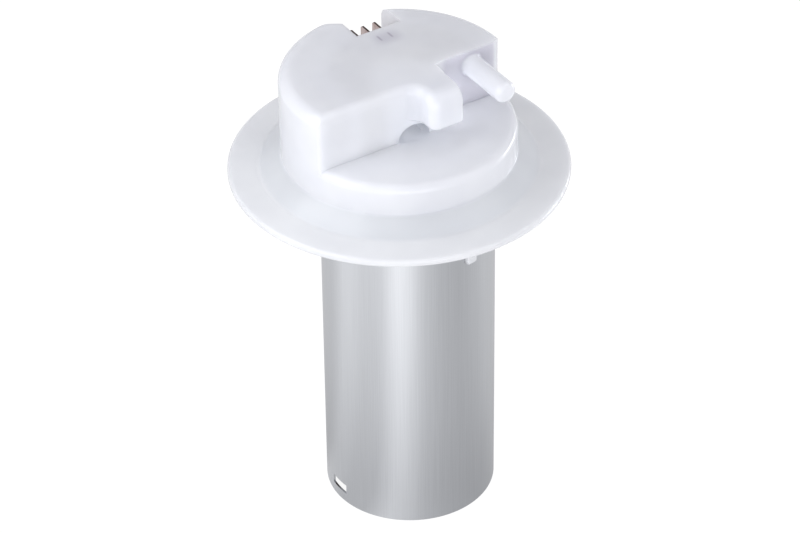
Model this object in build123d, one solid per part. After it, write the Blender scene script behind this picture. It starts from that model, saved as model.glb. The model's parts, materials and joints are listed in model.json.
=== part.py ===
from build123d import *
import os
from math import cos, radians, sin

os.makedirs("parts", exist_ok=True)

# Fuel level sender with a moulded head and a float that slides in a metal tube.
# Millimetres. +Z up, origin under the flange centre, on the tube's lower rim.
# The connector opens towards +Y, the spigot points to -Y.

# Tube
tube_length = 143.5
tube_diameter = 65.0
tube_wall = 0.8
tube_offset_x = 3.45

# Flange and flare
flange_land = 11.5
flange_thickness = 3.0
flange_edge_radius = 1.2
flare_reach = 8.1
flare_rise = 6.0
flare_foot_radius = 3.0
flare_top_radius = 0.8

# Boss, step and crown
boss_diameter = 86.8
step_rise = 11.7
step_edge_radius = 3.0
crown_rise = 22.3
crown_shoulder = 4.5
front_wall_setback = 12.8
front_wall_rim = 3.5
front_corner_radius = 1.5
rear_wall_setback = 4.7
rear_corner_radius = 7.0
head_wall = 3.0

# Nose that stands out of the front wall
nose_left = -0.6
nose_width = 13.2
nose_reach = 11.2
nose_drop = 15.0
nose_roll = 6.0
nose_chin = 2.0
nose_sweep = 4.8
nose_right_edge = 1.0

# Niche and ringed recess at the foot of the front wall
niche_x = -1.6
niche_setback = 5.2
niche_radius = 10.0
niche_height = 7.8
niche_roof_radius = 7.6
recess_depth = 1.0
recess_ring_radius = 6.4
recess_ring_depth = 0.6
sweep_overlap = 0.5

# Blind spigot
spigot_x = 28.5
spigot_diameter = 8.4
spigot_reach = 23.4
spigot_drop = 6.0
spigot_end_radius = 2.0
spigot_root_radius = 1.2
spigot_root_margin = 0.1

# Connector pocket, with its left rear corner cut off on a slant
pocket_x = 8.5
pocket_width = 18.8
pocket_depth = 16.0
pocket_setback = 26.4
pocket_corner_y = 36.5
pocket_corner_angle = 34.0

# Terminals
blade_x = 8.3
blade_pitch = 5.0
blade_height = 4.8
blade_thickness = 0.8
blade_reach = 11.6
blade_drop = 4.7
blade_chamfer = 0.7
leg_width = 4.0
leg_from_rod = 7.0
leg_tail = 1.0

# Collar under the head, its snap lugs and the tube slots for them
collar_clearance = 0.1
collar_wall = 2.4
collar_length = 33.5
carrier_seat_width = 1.5
seat_width = 1.5
lug_width = 4.2
lug_height = 5.0
lug_proud = 2.0
lug_drop = 26.9
lug_angle = -79.0
lug_slit = 1.2
lug_arm_height = 17.0
slot_clearance = 0.3

# Windows lanced in the tube, whose tongues carry the lower plate
tongue_width = 9.0
tongue_gap = 0.4
window_bottom = 4.0
window_height = 4.0

# Insulating plates
lower_plate_thickness = 3.0
plate_clearance = 0.3
inlet_diameter = 6.4
inlet_inset = 9.7
inlet_count = 6
upper_plate_drop = 10.5
upper_plate_thickness = 4.0

# Posts and screws that hold the upper plate
post_diameter = 7.2
post_inset = 5.16
screw_diameter = 3.0
screw_head_diameter = 5.6
screw_head_height = 2.0
screw_length = 12.0
screw_socket_diameter = 2.2
screw_socket_depth = 1.1

# Guide rods with an upset head above and a clip below
rod_diameter = 4.0
rod_inset = 2.5
rod_head_diameter = 5.2
rod_head_height = 0.8
rod_tail_diameter = 3.0
rod_tail_length = 3.0
clip_diameter = 8.4
clip_thickness = 0.6
clip_bite = 0.3
clip_gap = 2.0

# Resistance wires and the leaf springs that stretch them
wire_diameter = 0.3
wire_spacing = 16.0
leaf_thickness = 0.4
leaf_width = 3.6
leaf_foot = 6.0
leaf_slope = 4.5
leaf_tip = 3.0
leaf_rise = 3.2
rivet_diameter = 1.2
rivet_head_diameter = 2.6
rivet_head_height = 0.5

# Bus strips on the upper plate
strip_thickness = 0.5
strip_width = 3.0
strip_margin = 1.0

# Reserve contact in the middle
reserve_diameter = 2.0
reserve_collar_diameter = 5.6
reserve_collar_height = 1.4

# Float and its guide
float_clearance = 2.2
float_height = 26.0
float_edge_radius = 3.0
foam_width = 10.7
hub_wall = 1.8
hub_clearance = 0.2
hub_lip = 1.2
guide_plate_inset = 4.0
guide_plate_thickness = 2.4
bush_diameter = 7.6
bush_length = 14.0
bush_fit = 0.06
wire_hole_diameter = 2.8
centre_hole_diameter = 6.8
stud_diameter = 1.6
stud_head_diameter = 2.6
stud_head_height = 0.5
stud_spacing = 9.4
retainer_width = 3.4
retainer_height = 1.8
retainer_bite = 0.6
retainer_gap = 10.0
running_gap = 0.3

# Contact bridge
bridge_thickness = 0.4
bridge_width = 5.0
bridge_length = 21.0
bridge_eye_diameter = 12.4
finger_height = 2.4
finger_length = 2.4
contact_gap = 0.05

# Rubber stops
stop_height = 2.0
stop_width = 3.2
stop_gap = 0.3
bumper_diameter = 8.0
bumper_height = 3.8
bumper_edge_radius = 1.0

# Small radii and chamfers
small_radius = 0.5
retainer_corner_radius = 0.8
rod_tail_chamfer = 0.4
guide_plate_chamfer = 0.5
head_round_share = 0.6

# Overshoot of cutting tools, and how near two numbers count as equal
overshoot = 1.0
near = 0.01

# Levels that follow from the sizes above
flange_bottom = tube_length
flange_top = flange_bottom + flange_thickness
flare_top = flange_top + flare_rise
step_top = flare_top + step_rise
crown_top = step_top + crown_rise
step_ceiling = step_top - head_wall
crown_ceiling = crown_top - head_wall
collar_bottom = flange_bottom - collar_length
lug_bottom = flange_bottom - lug_drop
nose_bottom = crown_top - nose_drop
pocket_floor = crown_top - pocket_depth
blade_top = crown_top - blade_drop
blade_bottom = blade_top - blade_height
window_top = window_bottom + window_height
lower_plate_z = window_top + tube_wall
lower_plate_top = lower_plate_z + lower_plate_thickness
upper_plate_z = flange_bottom - upper_plate_drop
upper_plate_top = upper_plate_z + upper_plate_thickness
hub_bottom = lower_plate_top + stop_height + running_gap
retainer_z = hub_bottom + hub_lip
float_bottom = retainer_z + retainer_height
guide_plate_z = float_bottom + float_height
guide_plate_top = guide_plate_z + guide_plate_thickness

# Radii and places that follow, from the tube inwards
boss_radius = boss_diameter / 2
flare_radius = boss_radius + flare_reach
flange_radius = flare_radius + flange_land
tube_radius = tube_diameter / 2
tube_inner = tube_radius - tube_wall
collar_outer = tube_inner - collar_clearance
collar_inner = collar_outer - collar_wall
carrier_inner = collar_inner - carrier_seat_width
post_offset = (collar_inner - post_inset) * cos(radians(45))
inlet_circle_radius = tube_inner - inlet_inset
float_radius = collar_inner - float_clearance
guide_plate_radius = float_radius - guide_plate_inset
hub_radius = float_radius - foam_width
hub_inner = hub_radius - hub_wall
hub_diameter = 2 * hub_radius
rod_radius = rod_diameter / 2
rod_y = hub_inner - rod_inset
wire_x = wire_spacing / 2
wire_radius = wire_diameter / 2
leg_y = rod_y + leg_from_rod
blade_tip_y = pocket_setback + blade_reach
nose_right = nose_left + nose_width
pocket_left = pocket_x - pocket_width / 2
pocket_right = pocket_x + pocket_width / 2


def at_tube(x, y, z):
    """Place measured from the tube's axis, which stands beside the flange centre."""
    return Pos(tube_offset_x + x, y, z)


def rod(diameter, height):
    return Cylinder(diameter / 2, height, align=(Align.CENTER, Align.CENTER, Align.MIN))


def block(width, depth, height):
    return Box(width, depth, height, align=(Align.CENTER, Align.CENTER, Align.MIN))


def spin(points, radii):
    """Turn an outline that starts and ends on the axis into a solid."""
    edge = FilletPolyline(*[(x, 0, z) for x, z in points], radius=radii)
    axis_line = Line((points[-1][0], 0, points[-1][1]), (points[0][0], 0, points[0][1]))
    return revolve(make_face(edge + axis_line), Axis.Z)


def plan(points):
    """Flat face from corner points seen from above."""
    return make_face(Polyline(*points, close=True))


def raised(face, bottom, top):
    return Pos(0, 0, bottom) * extrude(face, top - bottom)


def polar(radius, angle, z):
    return at_tube(radius * cos(radians(angle)), radius * sin(radians(angle)), z)


def save(shape, name):
    shape.label = name
    export_step(shape, f"parts/{name}.step")
    print(name, round(shape.volume, 1))


# Terminals: stamped strips, blade outwards and leg down through the upper plate
def make_terminal(x):
    leg_front = leg_y - leg_width / 2
    leg_back = leg_y + leg_width / 2
    leg_bottom = upper_plate_z - leg_tail
    outline = [
        (blade_tip_y, blade_bottom + blade_chamfer),
        (blade_tip_y, blade_top - blade_chamfer),
        (blade_tip_y - blade_chamfer, blade_top),
        (leg_front, blade_top),
        (leg_front, leg_bottom),
        (leg_back, leg_bottom),
        (leg_back, blade_bottom),
        (blade_tip_y - blade_chamfer, blade_bottom),
    ]
    side = x - blade_thickness / 2
    wire = Polyline(*[(side, y, z) for y, z in outline], close=True)
    return extrude(make_face(wire), amount=blade_thickness, dir=(1, 0, 0))


terminals = [make_terminal(blade_x + step * blade_pitch) for step in (-1, 0, 1)]


# Head moulding
def crown_outline():
    reach = 2 * boss_radius
    front_cut = Pos(nose_right - reach / 2, -front_wall_setback - reach / 2) * Rectangle(reach, reach)
    rear_cut = Pos(nose_right + reach / 2, -rear_wall_setback - reach / 2) * Rectangle(reach, reach)
    outline = Circle(boss_radius) - front_cut - rear_cut
    outline = fillet(outline.vertices().sort_by(Axis.X)[-1], rear_corner_radius)
    corner = outline.vertices().filter_by(lambda v: v.Y < near - front_wall_setback).sort_by(Axis.X)[0]
    return fillet(corner, front_corner_radius)


def make_crown():
    dome = spin(
        [(0, flare_top), (boss_radius, flare_top), (boss_radius, crown_top), (0, crown_top)],
        [near, crown_shoulder])
    prism = raised(crown_outline(), flare_top, crown_top + overshoot)
    # Front wall with a rounded rim, as a bar along X
    reach = 2 * boss_radius
    bar = Pos(nose_right, -front_wall_setback, flare_top) * Box(
        reach, reach, crown_top - flare_top, align=(Align.MAX, Align.MIN, Align.MIN))
    rim = bar.edges().filter_by(Axis.X).group_by(Axis.Z)[-1].sort_by(Axis.Y)[0]
    bar = fillet(rim, front_wall_rim)
    bar += Pos(nose_right, -front_wall_setback, flare_top) * Box(
        reach, reach, crown_top - flare_top, align=(Align.MIN, Align.MIN, Align.MIN))
    return dome & prism & bar


def make_nose():
    """Overhanging nose whose left side sweeps into the front wall with rounded rims."""
    root_y = -rear_wall_setback
    front_y = -front_wall_setback - nose_reach
    nose = Pos(nose_left + nose_width / 2, root_y, nose_bottom) * Box(
        nose_width, root_y - front_y, nose_drop, align=(Align.CENTER, Align.MAX, Align.MIN))
    cross_edges = nose.edges().filter_by(Axis.X)
    nose = fillet(cross_edges.group_by(Axis.Z)[-1].sort_by(Axis.Y)[0], nose_roll)
    left_face = nose.faces().sort_by(Axis.X)[0]
    above = nose_bottom + near
    left_edges = left_face.edges().filter_by(lambda e: e.center().Y < root_y - near and e.center().Z > above)
    nose = fillet(left_edges, front_wall_rim)
    low_edges = nose.edges().group_by(Axis.Z)[0].filter_by(lambda e: e.center().Y < root_y - near)
    low_edges = low_edges.filter_by(lambda e: e.center().X < nose_right - near)
    nose = fillet(low_edges, nose_chin)
    right_face = nose.faces().sort_by(Axis.X)[-1]
    right_edges = right_face.edges().filter_by(lambda e: e.center().Y < root_y - near)
    nose = fillet(right_edges, nose_right_edge)
    return nose + make_nose_sweep()


def make_nose_sweep():
    """Quarter turn that fills the corner between the front wall and the nose."""
    reach = (nose_sweep + front_wall_rim) * 2 ** 0.5 + sweep_overlap
    edge = FilletPolyline(
        (reach, 0, nose_bottom), (nose_sweep, 0, nose_bottom), (nose_sweep, 0, crown_top),
        (reach, 0, crown_top), radius=[nose_chin, front_wall_rim])
    back = Line((reach, 0, crown_top), (reach, 0, nose_bottom))
    turn = revolve(make_face(edge + back), Axis.Z, 90)
    return Pos(nose_left - nose_sweep, -front_wall_setback - nose_sweep, 0) * turn


def make_spigot():
    """Turned outline: a root buried in the rear wall, the shaft and its rounded end."""
    radius = spigot_diameter / 2
    root = radius + spigot_root_radius + spigot_root_margin
    outline = [(0, -head_wall), (root, -head_wall), (root, 0), (radius, 0), (radius, spigot_reach),
               (0, spigot_reach)]
    shaft = spin(outline, [near, near, spigot_root_radius, spigot_end_radius])
    return Pos(spigot_x, -rear_wall_setback, crown_top - spigot_drop) * Rot(90, 0, 0) * shaft


def make_pocket():
    """Connector pocket, open at the top and the back, one corner cut on a slant."""
    far = 2 * boss_radius
    slant = far * sin(radians(pocket_corner_angle)) / cos(radians(pocket_corner_angle))
    return raised(plan([
        (pocket_left, pocket_setback), (pocket_right, pocket_setback), (pocket_right, far),
        (pocket_left - far, pocket_corner_y + slant), (pocket_left, pocket_corner_y)]),
        pocket_floor, crown_top + overshoot)


def make_cores():
    """What the lower mould half leaves free inside the head, all walls one thickness."""
    far = 2 * boss_radius
    inside = Pos(tube_offset_x, 0) * Circle(carrier_inner)
    outside = Circle(boss_radius - head_wall) - Pos(tube_offset_x, 0) * Circle(tube_radius + seat_width)
    slant = far * sin(radians(pocket_corner_angle)) / cos(radians(pocket_corner_angle))
    around_pocket = plan([
        (pocket_left - head_wall, pocket_setback - head_wall),
        (pocket_right + head_wall, pocket_setback - head_wall), (pocket_right + head_wall, far),
        (pocket_left - head_wall - far, pocket_corner_y - head_wall + slant),
        (pocket_left - head_wall, pocket_corner_y - head_wall)])
    around_niche = Pos(niche_x, -niche_setback) * Circle(niche_radius + head_wall)
    under_crown = offset(crown_outline(), -head_wall) - around_pocket - around_niche
    dome_reach = Circle(boss_radius - crown_shoulder)
    low = inside + outside
    cores = raised(low, flange_bottom, step_ceiling)
    cores += raised(low & under_crown & dome_reach, step_ceiling, crown_ceiling)
    cores += raised(low & around_pocket & dome_reach, step_ceiling, pocket_floor - head_wall)
    return cores


def make_collar():
    collar = at_tube(0, 0, collar_bottom) * rod(2 * collar_outer, collar_length)
    collar -= at_tube(0, 0, upper_plate_top) * rod(2 * carrier_inner, flange_bottom - upper_plate_top)
    collar -= at_tube(0, 0, collar_bottom) * rod(2 * collar_inner, upper_plate_top - collar_bottom)
    reach = tube_radius + lug_proud - collar_inner
    middle = collar_inner + reach / 2
    for turn in (lug_angle, lug_angle + 180):
        lug = block(reach, lug_width, lug_height)
        lug = fillet(lug.edges().filter_by(Axis.Z).sort_by(Axis.X)[-2:], small_radius)
        outer_round = at_tube(0, 0, lug_bottom) * rod(2 * (tube_radius + lug_proud), lug_height)
        collar += (polar(middle, turn, lug_bottom) * Rot(0, 0, turn) * lug) & outer_round
        for side in (-1, 1):
            slit = block(collar_wall + 2 * overshoot, lug_slit, lug_arm_height)
            shift = Pos(0, side * (lug_width + lug_slit) / 2, 0)
            middle_of_wall = (collar_inner + collar_outer) / 2
            collar -= polar(middle_of_wall, turn, collar_bottom) * Rot(0, 0, turn) * shift * slit
    return collar


def make_head():
    head = spin(
        [(0, flange_bottom), (flange_radius, flange_bottom), (flange_radius, flange_top),
         (flare_radius, flange_top), (boss_radius, flare_top), (boss_radius, step_top), (0, step_top)],
        [flange_edge_radius, flange_edge_radius, flare_foot_radius, flare_top_radius, step_edge_radius])
    head += make_crown()
    head += make_nose()
    head += make_spigot()
    niche = Pos(niche_x, -niche_setback, step_top) * rod(2 * niche_radius, niche_height)
    head -= fillet(niche.edges().sort_by(Axis.Z)[-1], niche_roof_radius)
    ring_top = step_top - recess_depth
    head -= Pos(niche_x, -niche_setback, ring_top) * rod(2 * niche_radius, recess_depth)
    head -= Pos(niche_x, -niche_setback, ring_top - recess_ring_depth) * rod(
        2 * recess_ring_radius, recess_ring_depth)
    head -= make_pocket()
    head -= make_cores()
    for side in (-1, 1):
        head += at_tube(side * post_offset, -post_offset, upper_plate_top) * rod(
            post_diameter, step_top - recess_depth - upper_plate_top)
    head += make_collar()
    for terminal in terminals:
        head -= terminal
    return head


# Outer tube with windows, lanced tongues and slots for the snap lugs
def make_tube():
    tube = at_tube(0, 0, 0) * (rod(tube_diameter, tube_length) - rod(2 * tube_inner, tube_length))
    tongue_length = window_height
    for turn in (0, 180):
        window = block(4 * tube_wall, tongue_width, window_height)
        tube -= polar(tube_radius, turn, window_bottom) * Rot(0, 0, turn) * window
        width = tongue_width - 2 * tongue_gap
        reach = tongue_length + tube_wall / 2
        tongue = polar(tube_radius - tube_wall / 2 - reach / 2, turn, window_top) * Rot(0, 0, turn) * block(
            reach, width, tube_wall)
        tube += tongue
    for turn in (lug_angle, lug_angle + 180):
        slot = block(4 * tube_wall, lug_width + 2 * slot_clearance, lug_height + 2 * slot_clearance)
        slot = fillet(slot.edges().filter_by(Axis.X), small_radius)
        tube -= polar(tube_radius, turn, lug_bottom - slot_clearance) * Rot(0, 0, turn) * slot
    return tube


# Plates
def make_upper_plate():
    plate = at_tube(0, 0, upper_plate_z) * rod(
        2 * (collar_inner - plate_clearance), upper_plate_thickness)
    for side in (-1, 1):
        plate -= at_tube(0, side * rod_y, upper_plate_z) * rod(rod_diameter, upper_plate_thickness)
        plate -= at_tube(side * wire_x, 0, upper_plate_z) * rod(wire_diameter, upper_plate_thickness)
        plate -= at_tube(side * post_offset, -post_offset, upper_plate_z) * rod(
            screw_diameter, upper_plate_thickness)
    plate -= at_tube(0, 0, upper_plate_z) * rod(reserve_diameter, upper_plate_thickness)
    for terminal in terminals:
        plate -= terminal
    return plate


def make_lower_plate():
    plate = at_tube(0, 0, lower_plate_z) * rod(
        2 * (tube_inner - plate_clearance), lower_plate_thickness)
    for side in (-1, 1):
        plate -= at_tube(0, side * rod_y, lower_plate_z) * rod(rod_tail_diameter, lower_plate_thickness)
        plate -= at_tube(side * wire_x, -leaf_foot, lower_plate_z) * rod(
            rivet_diameter, lower_plate_thickness)
    plate -= at_tube(0, 0, lower_plate_z) * rod(reserve_diameter, lower_plate_thickness)
    for i in range(inlet_count):
        plate -= polar(inlet_circle_radius, (i + 0.5) * 360 / inlet_count, lower_plate_z) * rod(
            inlet_diameter, lower_plate_thickness)
    return plate


# Bus strips from each terminal leg to its wire or rod
def strip_path(points):
    """Flat strip of one width along a path, from a pad round the terminal's leg."""
    strip = Pos(*points[0]) * Rectangle(strip_width, leg_width + 2 * strip_margin)
    for start, end in zip(points, points[1:]):
        run = Line(start, end)
        middle = (Vector(*start) + Vector(*end)) / 2
        turn = Vector(*end) - Vector(*start)
        angle = Vector(1, 0, 0).get_signed_angle(turn, Vector(0, 0, 1)) if run.length else 0
        strip += Pos(middle.X, middle.Y) * Rot(0, 0, angle) * Rectangle(run.length, strip_width)
        strip += Pos(*end) * Circle(strip_width / 2)
    return strip


def make_strip(points, terminal, hole_x, hole_diameter):
    strip = at_tube(0, 0, upper_plate_top) * extrude(strip_path(points), strip_thickness)
    strip -= at_tube(hole_x, 0, upper_plate_top) * rod(hole_diameter, strip_thickness)
    return strip - terminal


# Guide rods: upset head above the upper plate, shoulder and groove at the lower one
def make_rod(side):
    tail_z = lower_plate_z - rod_tail_length
    groove_z = lower_plate_z - clip_thickness
    shaft = rod(rod_diameter, upper_plate_top - lower_plate_top)
    tail = rod(rod_tail_diameter, lower_plate_top - tail_z)
    tail = chamfer(tail.edges().sort_by(Axis.Z)[0], rod_tail_chamfer)
    upset = rod(rod_head_diameter, rod_head_height)
    upset = fillet(upset.edges().sort_by(Axis.Z)[-1], head_round_share * rod_head_height)
    body = at_tube(0, side * rod_y, lower_plate_top) * shaft
    body += at_tube(0, side * rod_y, tail_z) * tail
    body += at_tube(0, side * rod_y, upper_plate_top) * upset
    groove = rod(rod_tail_diameter + overshoot, clip_thickness)
    groove -= rod(rod_tail_diameter - 2 * clip_bite, clip_thickness)
    return body - at_tube(0, side * rod_y, groove_z) * groove


def make_clips():
    clip = rod(clip_diameter, clip_thickness) - rod(rod_tail_diameter - 2 * clip_bite, clip_thickness)
    clip -= Pos(clip_diameter / 2, 0, 0) * block(clip_diameter, clip_gap, clip_thickness)
    z = lower_plate_z - clip_thickness
    return [at_tube(0, side * rod_y, z) * Rot(0, 0, side * 90) * clip for side in (-1, 1)]


# Screws up into the posts
def make_screws():
    shank = rod(screw_diameter, screw_length)
    head_round = Pos(0, 0, -screw_head_height) * rod(screw_head_diameter, screw_head_height)
    head_round = fillet(head_round.edges().sort_by(Axis.Z)[0], head_round_share * screw_head_height)
    socket = Pos(0, 0, -screw_head_height) * extrude(
        RegularPolygon(screw_socket_diameter / 2, 6), screw_socket_depth)
    screw = shank + head_round - socket
    return [at_tube(side * post_offset, -post_offset, upper_plate_z) * screw for side in (-1, 1)]


# Reserve rod with the collar that the bridge touches when the float is down
def make_reserve_rod():
    top = upper_plate_top + strip_thickness
    body = at_tube(0, 0, lower_plate_z) * rod(reserve_diameter, top - lower_plate_z)
    collar_z = guide_plate_top + (bridge_thickness - reserve_collar_height) / 2
    return body + at_tube(0, 0, collar_z) * rod(reserve_collar_diameter, reserve_collar_height)


# Wires and the bent leaf springs that hold them tight
def make_wire(side):
    bottom = lower_plate_top + leaf_rise
    top = upper_plate_top + strip_thickness
    return at_tube(side * wire_x, 0, bottom) * rod(wire_diameter, top - bottom)


def make_leaf(side):
    foot_start = -leaf_foot - leaf_width / 2
    foot_end = -leaf_slope
    tip_start = -leaf_tip / 2
    low = lower_plate_top
    high = low + leaf_rise
    outline = [
        (foot_start, low), (foot_end, low), (tip_start, high - leaf_thickness),
        (leaf_tip / 2, high - leaf_thickness), (leaf_tip / 2, high),
        (tip_start - leaf_thickness / 2, high), (foot_end - leaf_thickness / 2, low + leaf_thickness),
        (foot_start, low + leaf_thickness),
    ]
    x = tube_offset_x + side * wire_x - leaf_width / 2
    wire = Polyline(*[(x, y, z) for y, z in outline], close=True)
    leaf = extrude(make_face(wire), amount=leaf_width, dir=(1, 0, 0))
    return leaf - at_tube(side * wire_x, -leaf_foot, low) * rod(rivet_diameter, leaf_thickness)


def make_rivets():
    length = lower_plate_thickness + leaf_thickness
    shank = rod(rivet_diameter, length)
    button = rod(rivet_head_diameter, rivet_head_height)
    round_off = head_round_share * rivet_head_height
    top = Pos(0, 0, length) * fillet(button.edges().sort_by(Axis.Z)[-1], round_off)
    foot = Pos(0, 0, -rivet_head_height) * fillet(button.edges().sort_by(Axis.Z)[0], round_off)
    rivet = shank + top + foot
    return [at_tube(side * wire_x, -leaf_foot, lower_plate_z) * rivet for side in (-1, 1)]


# Float, its guide, the split ring under it and the contact bridge on top
def make_float():
    body = at_tube(0, 0, float_bottom) * rod(2 * float_radius, float_height)
    body = fillet(body.edges().filter_by(GeomType.CIRCLE), float_edge_radius)
    return body - at_tube(0, 0, float_bottom) * rod(hub_diameter + 2 * hub_clearance, float_height)


def make_guide():
    guide = at_tube(0, 0, guide_plate_z) * rod(2 * guide_plate_radius, guide_plate_thickness)
    guide = chamfer(guide.edges().sort_by(Axis.Z)[-1], guide_plate_chamfer)
    guide += at_tube(0, 0, hub_bottom) * (
        rod(hub_diameter, guide_plate_z - hub_bottom) - rod(2 * hub_inner, guide_plate_z - hub_bottom))
    groove = rod(hub_diameter + overshoot, retainer_height)
    groove -= rod(hub_diameter - 2 * retainer_bite, retainer_height)
    guide -= at_tube(0, 0, retainer_z) * groove
    for side in (-1, 1):
        guide += at_tube(0, side * rod_y, guide_plate_top - bush_length) * rod(bush_diameter, bush_length)
    for side in (-1, 1):
        guide -= at_tube(0, side * rod_y, guide_plate_top - bush_length) * rod(
            rod_diameter + 2 * bush_fit, bush_length)
        guide -= at_tube(side * wire_x, 0, guide_plate_z) * rod(wire_hole_diameter, guide_plate_thickness)
        stud = rod(stud_diameter, bridge_thickness)
        button = Pos(0, 0, bridge_thickness) * rod(stud_head_diameter, stud_head_height)
        button = fillet(button.edges().sort_by(Axis.Z)[-1], head_round_share * stud_head_height)
        guide += at_tube(side * stud_spacing / 2, 0, guide_plate_top) * (stud + button)
    return guide - at_tube(0, 0, guide_plate_z) * rod(centre_hole_diameter, guide_plate_thickness)


def make_retainer():
    inner = hub_diameter - 2 * retainer_bite
    retainer = rod(hub_diameter + 2 * retainer_width, retainer_height) - rod(inner, retainer_height)
    retainer -= Pos(hub_diameter / 2, 0, 0) * block(hub_diameter, retainer_gap, retainer_height)
    retainer = fillet(retainer.edges().filter_by(Axis.Z), retainer_corner_radius)
    return at_tube(0, 0, retainer_z) * Rot(0, 0, 90) * retainer


def make_bridge():
    strip = Rectangle(bridge_length, bridge_width) + Circle(bridge_eye_diameter / 2)
    strip -= Circle(reserve_collar_diameter / 2 + contact_gap)
    slot_half = wire_radius + contact_gap
    notch_start = wire_x - finger_length / 2
    notch_length = bridge_length / 2 - notch_start
    fingers = []
    for side in (-1, 1):
        strip -= Pos(side * (notch_start + notch_length / 2), 0) * Rectangle(notch_length, 2 * slot_half)
        strip -= Pos(side * stud_spacing / 2, 0) * Circle(stud_diameter / 2)
        for edge in (-1, 1):
            fingers.append(at_tube(side * wire_x, edge * (slot_half + bridge_thickness / 2), guide_plate_top)
                           * block(finger_length, bridge_thickness, finger_height))
    bridge = at_tube(0, 0, guide_plate_top) * extrude(strip, bridge_thickness)
    for finger in fingers:
        bridge += finger
    return bridge


# Rubber stops
def make_lower_stop():
    inner = 2 * (hub_inner + stop_gap)
    stop = rod(inner + 2 * stop_width, stop_height) - rod(inner, stop_height)
    stop = fillet(stop.edges().group_by(Axis.Z)[-1], small_radius)
    return at_tube(0, 0, lower_plate_top) * stop


def make_bumpers():
    bumper = rod(bumper_diameter, bumper_height)
    bumper = fillet(bumper.edges().sort_by(Axis.Z)[0], bumper_edge_radius) - rod(rod_diameter, bumper_height)
    z = upper_plate_z - bumper_height
    return [at_tube(0, side * rod_y, z) * bumper for side in (-1, 1)]


tie = blade_x - tube_offset_x
near_leg = (tie - blade_pitch, leg_y)
mid_leg = (tie, leg_y)
far_leg = (tie + blade_pitch, leg_y)
sender_path = [near_leg, (-wire_x, leg_y), (-wire_x, 0)]
warning_path = [mid_leg, (tie, 0.4 * wire_x), (0, 0)]
ground_path = [far_leg, (tie + blade_pitch, 0), (wire_x, 0)]
screws = make_screws()

head = make_head()
for screw in screws:
    head -= screw
save(head, "head")
save(make_tube(), "outer_tube")
save(make_upper_plate(), "upper_plate")
save(make_lower_plate(), "lower_plate")
save(Compound(screws), "plate_screws")
for name, terminal in zip(("sender", "warning", "ground"), terminals):
    save(terminal, f"terminal_{name}")
save(make_strip(sender_path, terminals[0], -wire_x, wire_diameter), "bus_strip_sender")
save(make_strip(warning_path, terminals[1], 0, reserve_diameter), "bus_strip_warning")
save(make_strip(ground_path, terminals[2], wire_x, wire_diameter), "bus_strip_ground")
save(make_rod(-1), "guide_rod_front")
save(make_rod(1), "guide_rod_rear")
save(Compound(make_clips()), "rod_clips")
save(make_reserve_rod(), "reserve_rod")
save(make_wire(-1), "resistance_wire_sender")
save(make_wire(1), "resistance_wire_ground")
save(make_leaf(-1), "tension_leaf_sender")
save(make_leaf(1), "tension_leaf_ground")
save(Compound(make_rivets()), "leaf_rivets")
save(make_lower_stop(), "lower_stop")
save(Compound(make_bumpers()), "upper_bumpers")
save(make_float(), "float")
save(make_guide(), "float_guide")
save(make_retainer(), "float_retainer")
save(make_bridge(), "contact_bridge")
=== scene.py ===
import json
import math

import bpy
from mathutils import Matrix, Vector

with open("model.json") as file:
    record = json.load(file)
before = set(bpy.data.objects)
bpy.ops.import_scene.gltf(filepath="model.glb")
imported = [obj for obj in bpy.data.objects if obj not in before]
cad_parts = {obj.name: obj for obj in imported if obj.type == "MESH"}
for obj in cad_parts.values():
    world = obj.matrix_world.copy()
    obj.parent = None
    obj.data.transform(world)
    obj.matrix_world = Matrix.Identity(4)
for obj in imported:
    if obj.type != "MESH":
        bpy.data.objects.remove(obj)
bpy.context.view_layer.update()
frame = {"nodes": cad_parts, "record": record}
bpy.ops.object.select_all(action="DESELECT")

mm = 0.001
scene = bpy.context.scene
print("frame loaded:", len(frame["nodes"]), "nodes")


# Colours are written as sRGB hex, the shader wants linear values
def hexColor(code):
    channels = [int(code[i:i + 2], 16) / 255 for i in (1, 3, 5)]
    linear = [c / 12.92 if c <= 0.04045 else ((c + 0.055) / 1.055) ** 2.4 for c in channels]
    return (*linear, 1.0)


# Adds one node. Inputs are links or fixed values, stops a ramp's spots and colours, fields the rest
def addNode(tree, kind, inputs=None, stops=(), **fields):
    node = tree.nodes.new(kind)
    for name, value in fields.items():
        setattr(node, name, value)
    for name, value in (inputs or {}).items():
        if isinstance(value, bpy.types.NodeSocket):
            tree.links.new(value, node.inputs[name])
        else:
            node.inputs[name].default_value = value
    if stops:
        elements = node.color_ramp.elements
        for element, (spot, color) in zip(elements, stops):
            element.position, element.color = spot, color
        for spot, color in stops[2:]:  # a new ramp has two stops
            elements.new(spot).color = color
    return node


# An empty material, and the Object coordinates that its patterns read
def startMaterial(name):
    material = bpy.data.materials.new(name)
    material.use_nodes = True
    tree = material.node_tree
    tree.nodes.clear()
    return material, tree, addNode(tree, "ShaderNodeTexCoord").outputs["Object"]


# Noise whose grain has a real size in millimetres, stretched along an axis where asked
def grain(tree, place, size, stretch=(1, 1, 1), detail=3.0):
    scaled = addNode(tree, "ShaderNodeMapping", {"Vector": place, "Scale": stretch})
    noise = addNode(tree, "ShaderNodeTexNoise", {
        "Vector": scaled.outputs["Vector"], "Scale": 1 / (size * mm), "Detail": detail})
    return noise.outputs["Fac"]


# The share inside a soft-edged box, and nought outside it. Each side of the box gives its low
# end, its high end and half the width of its soft edge, in millimetres
def inBox(tree, axes, box, share):
    amount = share
    for side, (low, high, soft) in box.items():
        for outer, inner in ((low - soft, low + soft), (high + soft, high - soft)):
            amount = addNode(tree, "ShaderNodeMapRange", {
                "Value": axes[side], "From Min": outer * mm, "From Max": inner * mm,
                "To Max": amount}, interpolation_type="SMOOTHSTEP").outputs["Result"]
    return amount


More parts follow.
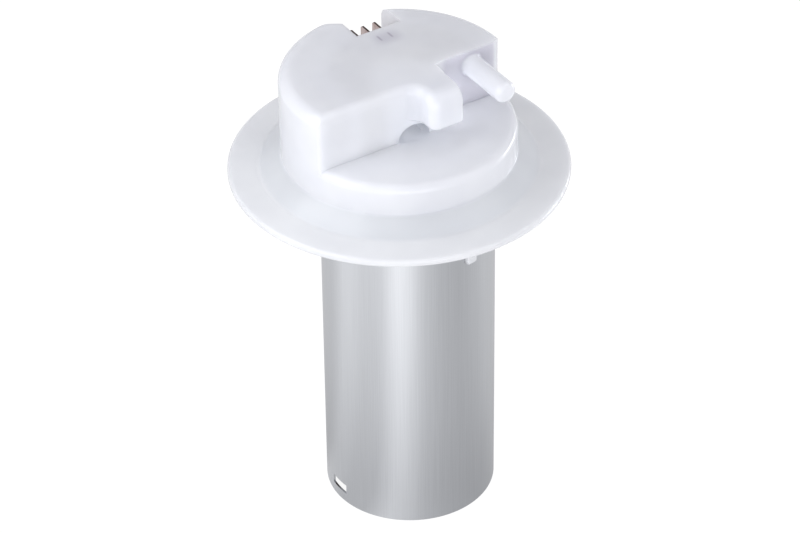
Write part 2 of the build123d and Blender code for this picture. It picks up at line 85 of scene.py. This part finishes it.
# Natural nylon, injection moulded: milky white, light goes a few millimetres in, soft gloss
nylonLook = {
    "tones": ("#ebecef", "#f3f4f6"), "spots": (0.3, 0.7), "cloudSize": 22, "cloudDetail": 2.0,
    "textureSize": 0.5, "textureDepth": 0.012, "roughness": 0.19, "ior": 1.53, "reach": 5.0,
    # painted shade: the flange and the flare are thin and let light through to the dark side, and the wall
    # behind the spigot lies in shade, so all three are painted a little greyer
    "paintedShades": (
        {"color": "#cbc8a8", "share": 0.12, "box": {"z": (0, 146.8, 0.6)}},
        {"color": "#c9ccca", "share": 0.4, "box": {"z": (146.8, 152.3, 0.6)}},
        {"color": "#b3adbd", "share": 0.6,
         "box": {"x": (16, 60, 2.0), "z": (164, 187.5, 1.5), "y": (-5.0, -4.4, 0.6)}},
    ),
}
# The moulded-in ends of the blades show through the crown's top as faint strokes in a haze
markLook = {
    "color": "#8d7f96", "first": 5.15, "pitch": 4.6, "width": 0.7, "strokeShare": 0.34, "hazeShare": 0.25,
    "stroke": {"x": (3.0, 12.0, 0.3), "y": (18.9, 22.3, 0.8), "z": (186.0, 200, 0.2)},
    "haze": {"x": (3.5, 12.5, 3.0), "y": (16.5, 23.5, 3.0), "z": (186.0, 200, 0.2)},
}


def bladeMarks(tree, axes):
    look = markLook
    fromFirst = addNode(tree, "ShaderNodeMath", {0: axes["x"], 1: look["first"] * mm}, operation="SUBTRACT")
    fromNearest = addNode(tree, "ShaderNodeMath", {0: fromFirst.outputs[0], 1: look["pitch"] * mm / 2},
                          operation="PINGPONG")
    sides = {**axes, "fromNearest": fromNearest.outputs[0]}
    half = look["width"] / 2
    strokeBox = {"fromNearest": (-look["width"], half, half), **look["stroke"]}
    stroke = inBox(tree, sides, strokeBox, look["strokeShare"])
    haze = inBox(tree, axes, look["haze"], look["hazeShare"])
    return addNode(tree, "ShaderNodeMath", {0: stroke, 1: haze}, operation="ADD").outputs[0]


def naturalNylon():
    look = nylonLook
    material, tree, place = startMaterial("naturalNylonMoulded")
    clouds = grain(tree, place, look["cloudSize"], detail=look["cloudDetail"])
    stops = list(zip(look["spots"], map(hexColor, look["tones"])))
    color = addNode(tree, "ShaderNodeValToRGB", {"Fac": clouds}, stops).outputs["Color"]
    axes = dict(zip("xyz", addNode(tree, "ShaderNodeSeparateXYZ", {"Vector": place}).outputs))
    # painted shade on the flange, the flare and the wall behind the spigot, then the blade marks
    layers = [(inBox(tree, axes, tint["box"], tint["share"]), tint["color"]) for tint in look["paintedShades"]]
    layers.append((bladeMarks(tree, axes), markLook["color"]))
    for amount, tint in layers:
        color = addNode(tree, "ShaderNodeMix", {0: amount, 6: color, 7: hexColor(tint)},
                        data_type="RGBA").outputs[2]
    texture = addNode(tree, "ShaderNodeBump", {
        "Height": grain(tree, place, look["textureSize"]), "Distance": look["textureDepth"] * mm})
    shader = addNode(tree, "ShaderNodeBsdfPrincipled", {
        "Base Color": color, "Roughness": look["roughness"], "IOR": look["ior"], "Subsurface Weight": 1.0,
        "Subsurface Radius": (1.0, 1.0, 1.0), "Subsurface Scale": look["reach"] * mm,
        "Normal": texture.outputs["Normal"]})
    addNode(tree, "ShaderNodeOutputMaterial", {"Surface": shader.outputs[0]})
    return material


# The other finishes share a recipe: dark and light tone, grain size in millimetres, stretch with
# less than one where the grain is drawn out, roughness from dark to light, metal, and depth of the
# grain in millimetres
surfaceLooks = {
    # drawn aluminium, satin: lines a quarter of a millimetre wide and 40 mm long run down the tube
    # and spread the highlight round it
    "tube_aluminium": {"name": "drawnAluminiumSatin", "tones": ("#cdcfd3", "#d3d5d9"), "grain": 0.25,
                       "stretch": (1, 1, 0.25 / 40), "rough": (0.27, 0.33), "metal": 1.0, "depth": 0.0012},
    # brown pressed paper laminate, matt, with flecks of fibre
    "phenolic": {"name": "phenolicLaminate", "tones": ("#452a17", "#5a3a22"), "grain": 0.8,
                 "stretch": (1, 1, 6), "rough": (0.45, 0.6), "metal": 0.0, "depth": 0.01},
    # steel under zinc plate, pale with a faint warm cast
    "zinc_steel": {"name": "zincPlatedSteel", "tones": ("#b2b0a8", "#c9c8c2"), "grain": 1.2,
                   "stretch": (1, 1, 1), "rough": (0.28, 0.45), "metal": 1.0, "depth": 0.004},
    # centreless ground rod, rings too fine to see one by one, drawn coarser here
    "rod_steel": {"name": "groundSteelRod", "tones": ("#b3b4b7", "#c6c7c9"), "grain": 0.4,
                  "stretch": (0.05, 0.05, 1), "rough": (0.18, 0.3), "metal": 1.0, "depth": 0.003},
    # terminal blades: pale tin with a pink cast, and dark brown where the strip was sheared
    "tinned_brass": {"name": "tinnedTerminalBrass", "tones": ("#c2aca6", "#e2d2cd"), "spots": (0.35, 0.6),
                     "grain": 2.2, "stretch": (1, 1, 1), "rough": (0.3, 0.45), "metal": 0.4, "depth": 0.006,
                     "sheared": "#4b362f"},
    # rolled brass strip
    "brass": {"name": "rolledBrass", "tones": ("#a9853f", "#c8a35a"), "grain": 0.6,
              "stretch": (1, 0.1, 1), "rough": (0.25, 0.4), "metal": 1.0, "depth": 0.004},
    # phosphor bronze spring strip, redder than brass
    "spring_bronze": {"name": "springBronze", "tones": ("#a06a3d", "#c48a55"), "grain": 0.6,
                      "stretch": (0.1, 1, 1), "rough": (0.25, 0.38), "metal": 1.0, "depth": 0.004},
    # drawn resistance wire, grey
    "resistance_wire": {"name": "resistanceWire", "tones": ("#8d8a83", "#a9a59c"), "grain": 0.2,
                        "stretch": (1, 1, 0.02), "rough": (0.25, 0.4), "metal": 1.0, "depth": 0.001},
    # moulded nitrile rubber, matt black with bloom
    "rubber": {"name": "nitrileRubber", "tones": ("#19191b", "#26262a"), "grain": 0.9,
               "stretch": (1, 1, 1), "rough": (0.6, 0.8), "metal": 0.0, "depth": 0.02},
    # closed cell float foam with a moulded skin
    "float_foam": {"name": "floatFoam", "tones": ("#1d1d20", "#2c2c30"), "grain": 0.7,
                   "stretch": (1, 1, 1), "rough": (0.65, 0.85), "metal": 0.0, "depth": 0.06},
    # acetal, opaque and slippery, in white and in black
    "acetal": {"name": "whiteAcetal", "tones": ("#dfdfd8", "#ecece6"), "grain": 6.0,
               "stretch": (1, 1, 1), "rough": (0.3, 0.4), "metal": 0.0, "depth": 0.006},
    "acetal_black": {"name": "blackAcetal", "tones": ("#17171a", "#222225"), "grain": 6.0,
                     "stretch": (1, 1, 1), "rough": (0.3, 0.42), "metal": 0.0, "depth": 0.006},
}
usualSpots = (0.35, 0.65)
flatFaceLimit = 0.6  # the rolled faces of a blade look along X, its sheared edges don't


# Puts the dark cut edge over the colour of a blade, by the way that each face looks
def shearedEdges(tree, color, edge):
    normal = addNode(tree, "ShaderNodeTexCoord").outputs["Normal"]
    along = addNode(tree, "ShaderNodeSeparateXYZ", {"Vector": normal}).outputs["X"]
    facing = addNode(tree, "ShaderNodeMath", {0: along}, operation="ABSOLUTE").outputs[0]
    cut = addNode(tree, "ShaderNodeMath", {0: facing, 1: flatFaceLimit}, operation="LESS_THAN").outputs[0]
    return addNode(tree, "ShaderNodeMix", {0: cut, 6: color, 7: hexColor(edge)}, data_type="RGBA").outputs[2]


def makeSurface(look):
    material, tree, place = startMaterial(look["name"])
    cells = grain(tree, place, look["grain"], stretch=look["stretch"])
    stops = list(zip(look.get("spots", usualSpots), map(hexColor, look["tones"])))
    color = addNode(tree, "ShaderNodeValToRGB", {"Fac": cells}, stops).outputs["Color"]
    if "sheared" in look:
        color = shearedEdges(tree, color, look["sheared"])
    smooth, rough = look["rough"]
    roughness = addNode(tree, "ShaderNodeMapRange", {"Value": cells, "To Min": smooth, "To Max": rough})
    relief = addNode(tree, "ShaderNodeBump", {"Height": cells, "Distance": look["depth"] * mm})
    shader = addNode(tree, "ShaderNodeBsdfPrincipled", {
        "Base Color": color, "Metallic": look["metal"], "Roughness": roughness.outputs["Result"],
        "Normal": relief.outputs["Normal"]})
    addNode(tree, "ShaderNodeOutputMaterial", {"Surface": shader.outputs[0]})
    return material


slotMaterials = {"natural_nylon": naturalNylon()}
for slot, look in surfaceLooks.items():
    slotMaterials[slot] = makeSurface(look)
for entry in frame["record"]["subparts"]:
    target = frame["nodes"][entry["node"]]
    target.data.materials.clear()
    target.data.materials.append(slotMaterials[entry["material_slot"]])
print("materials made:", len(slotMaterials))


# The floor is white to the camera and keeps a faint shadow. To polished metal it glows with a painted
# reflection, brighter in front left where a window would be, dimmer to the right, and painted shade close to
# the object
stageLook = {
    "size": 6.0, "below": 0.2, "color": "#f4f4f4", "roughness": 0.9, "specular": 0.1,
    # share of its own light over its shaded white, level to the camera, level of the painted reflection in
    # polished metal
    "hold": 0.86, "white": 1.1, "mirror": 1.74,
    # painted reflection by azimuth from the front in degrees, level
    "around": ((-180, 0.44), (-140, 0.47), (-122, 0.68), (-104, 0.66), (-90, 0.57), (-66, 0.56),
               (-44, 0.93), (-31, 0.79), (-16, 0.52), (4, 0.40), (30, 0.35), (52, 0.39), (76, 0.47),
               (100, 0.42), (180, 0.44)),
    # painted shade close to the object: distance from the middle in millimetres, level
    "away": ((50, 0.72), (75, 0.80), (106, 0.90), (144, 0.97), (178, 1.0)),
    # how far the pattern round the object gives way to one level close to it
    "near": 0.48, "blur": ((50, 0.34), (75, 0.32), (106, 0.26), (144, 0.16), (178, 0.0)),
}


def grey(level):
    return (level, level, level, 1.0)


# The floor's painted reflection in a mirror: a pattern by azimuth that blurs, and dims as painted shade
# close to the object
def paintedReflectionLevel(tree, place, look):
    quarter = math.radians(90)  # the gradient's middle lies on the right, azimuth nought in front
    turned = addNode(tree, "ShaderNodeMapping", {"Vector": place, "Rotation": (0, 0, quarter)})
    dial = addNode(tree, "ShaderNodeTexGradient", {"Vector": turned.outputs["Vector"]},
                   gradient_type="RADIAL")
    stops = [((azimuth + 180) / 360, grey(level)) for azimuth, level in look["around"]]
    around = addNode(tree, "ShaderNodeValToRGB", {"Fac": dial.outputs["Fac"]}, stops).outputs["Color"]
    distance = addNode(tree, "ShaderNodeVectorMath", {0: place}, operation="LENGTH").outputs["Value"]
    far = look["away"][-1][0]
    reach = addNode(tree, "ShaderNodeMath", {0: distance, 1: far * mm}, operation="DIVIDE").outputs[0]
    ramps = {}
    for name in ("away", "blur"):
        stops = [(radius / far, grey(level)) for radius, level in look[name]]
        ramps[name] = addNode(tree, "ShaderNodeValToRGB", {"Fac": reach}, stops).outputs["Color"]
    level = addNode(tree, "ShaderNodeMix", {0: ramps["blur"], 2: around, 3: look["near"]},
                    data_type="FLOAT").outputs[0]
    for factor in (ramps["away"], look["mirror"]):
        level = addNode(tree, "ShaderNodeMath", {0: level, 1: factor}, operation="MULTIPLY").outputs[0]
    return level


def makeFloor():
    look = stageLook
    bpy.ops.mesh.primitive_plane_add(size=look["size"], location=(0, 0, -look["below"] * mm))
    floor = bpy.context.active_object
    floor.name = "studioFloor"
    material, tree, place = startMaterial("backdropWithPaintedReflection")
    matte = addNode(tree, "ShaderNodeBsdfPrincipled", {
        "Base Color": hexColor(look["color"]), "Roughness": look["roughness"],
        "Specular IOR Level": look["specular"]})
    rays = addNode(tree, "ShaderNodeLightPath").outputs
    # the floor glows as plain white to the camera and as the painted reflection to glossy rays
    level = addNode(tree, "ShaderNodeMix", {
        0: rays["Is Camera Ray"], 2: paintedReflectionLevel(tree, place, look), 3: look["white"]}, data_type="FLOAT")
    glow = addNode(tree, "ShaderNodeEmission", {"Strength": level.outputs[0]})
    seen = addNode(tree, "ShaderNodeMath", {0: rays["Is Camera Ray"], 1: rays["Is Glossy Ray"]},
                   operation="MAXIMUM")
    held = addNode(tree, "ShaderNodeMath", {0: seen.outputs[0], 1: look["hold"]}, operation="MULTIPLY")
    mixed = addNode(tree, "ShaderNodeMixShader", {
        0: held.outputs[0], 1: matte.outputs[0], 2: glow.outputs[0]})
    addNode(tree, "ShaderNodeOutputMaterial", {"Surface": mixed.outputs[0]})
    floor.data.materials.append(material)


# Soft boxes low in front, one high and one at the left like a window, and a flat one on the right
# for the bright line on the step's edge. Angles in degrees, distance and size in metres
softBoxLook = {
    "frontLeft": {"azimuth": -64, "elevation": 10, "distance": 0.34, "size": (0.36, 0.36), "power": 0.2},
    "frontMiddle": {"azimuth": -16, "elevation": 8, "distance": 0.9, "size": (0.7, 0.5), "power": 2.0},
    "high": {"azimuth": 46, "elevation": 48, "distance": 1.2, "size": (0.8, 0.8), "power": 1.65},
    "windowLeft": {"azimuth": -100, "elevation": 46, "distance": 0.3, "size": (0.22, 0.22), "power": 0.26},
    "sideRight": {"azimuth": 86, "elevation": 2, "distance": 1.2, "size": (0.75, 0.13), "power": 3.5},
}
# Small glows stand for the light that comes through the milky crown to the niche and the step,
# with place and radius in millimetres
glowLook = {
    "nicheGlow": {"place": (-1.2, -8.6, 167.2), "radius": 2.2, "power": 0.0003},
    "stepGlow": {"place": (20.0, -11.0, 173.0), "radius": 2.5, "power": 0.0006},
}
lampColor = (0.98, 1.0, 1.05)
lampAim = (0, 0, 100)  # where the soft boxes look, in millimetres
worldLook = {"color": (0.985, 0.985, 1.05, 1), "strength": 0.52}


# Unit vector from the object towards what stands at this azimuth from the front and elevation
def outwards(azimuth, elevation):
    a, e = math.radians(azimuth), math.radians(elevation)
    return Vector((math.sin(a) * math.cos(e), -math.cos(a) * math.cos(e), math.sin(e)))


def addLamp(name, kind, place, power):
    light = bpy.data.lights.new(name, kind)
    light.color = lampColor
    light.energy = power
    lamp = bpy.data.objects.new(name, light)
    lamp.location = place
    lamp.visible_camera = False
    scene.collection.objects.link(lamp)
    return light, lamp


def addSoftBox(name, azimuth, elevation, distance, size, power):
    back = outwards(azimuth, elevation)
    light, lamp = addLamp(name, "AREA", Vector(lampAim) * mm + back * distance, power)
    light.shape = "RECTANGLE"
    light.size, light.size_y = size
    lamp.rotation_euler = (-back).to_track_quat("-Z", "Y").to_euler()


def addGlow(name, place, radius, power):
    light, lamp = addLamp(name, "POINT", Vector(place) * mm, power)
    light.shadow_soft_size = radius * mm
    lamp.visible_glossy = False


def makeWorld():
    world = bpy.data.worlds.new("studioWorld")
    world.use_nodes = True
    background = world.node_tree.nodes["Background"].inputs
    background["Color"].default_value = worldLook["color"]
    background["Strength"].default_value = worldLook["strength"]
    scene.world = world


makeFloor()
for name, look in softBoxLook.items():
    addSoftBox(name, **look)
for name, look in glowLook.items():
    addGlow(name, **look)
makeWorld()
print("stage and lamps set")


# The photograph's view: a long lens from the left front, rolled by less than a degree
cameraLook = {"lens": 162.0, "sensor": 36.0, "azimuth": -32.261, "elevation": 36.192, "roll": -0.709,
              "place": (-580.36, -919.08, 893.49), "farthest": 20.0}


def makeCamera():
    look = cameraLook
    back = outwards(look["azimuth"], look["elevation"])
    right = outwards(look["azimuth"] + 90, 0)
    up = back.cross(right)
    turn = math.radians(look["roll"])
    tiltedRight = right * math.cos(turn) + up * math.sin(turn)
    tiltedUp = up * math.cos(turn) - right * math.sin(turn)
    data = bpy.data.cameras.new("photoCamera")
    data.lens = look["lens"]
    data.sensor_width = look["sensor"]
    data.clip_end = look["farthest"]
    camera = bpy.data.objects.new("photoCamera", data)
    axes = Matrix((tiltedRight, tiltedUp, back)).transposed().to_4x4()
    camera.matrix_world = Matrix.Translation(Vector(look["place"]) * mm) @ axes
    scene.collection.objects.link(camera)
    scene.camera = camera


makeCamera()
print("camera placed")

# Light in the milky nylon's hollows goes round many times before it comes out
bounceLook = {"diffuse": 12, "all": 16}
scene.cycles.diffuse_bounces = bounceLook["diffuse"]
scene.cycles.max_bounces = bounceLook["all"]
scene.view_settings.view_transform = "Standard"

print("scene ready")
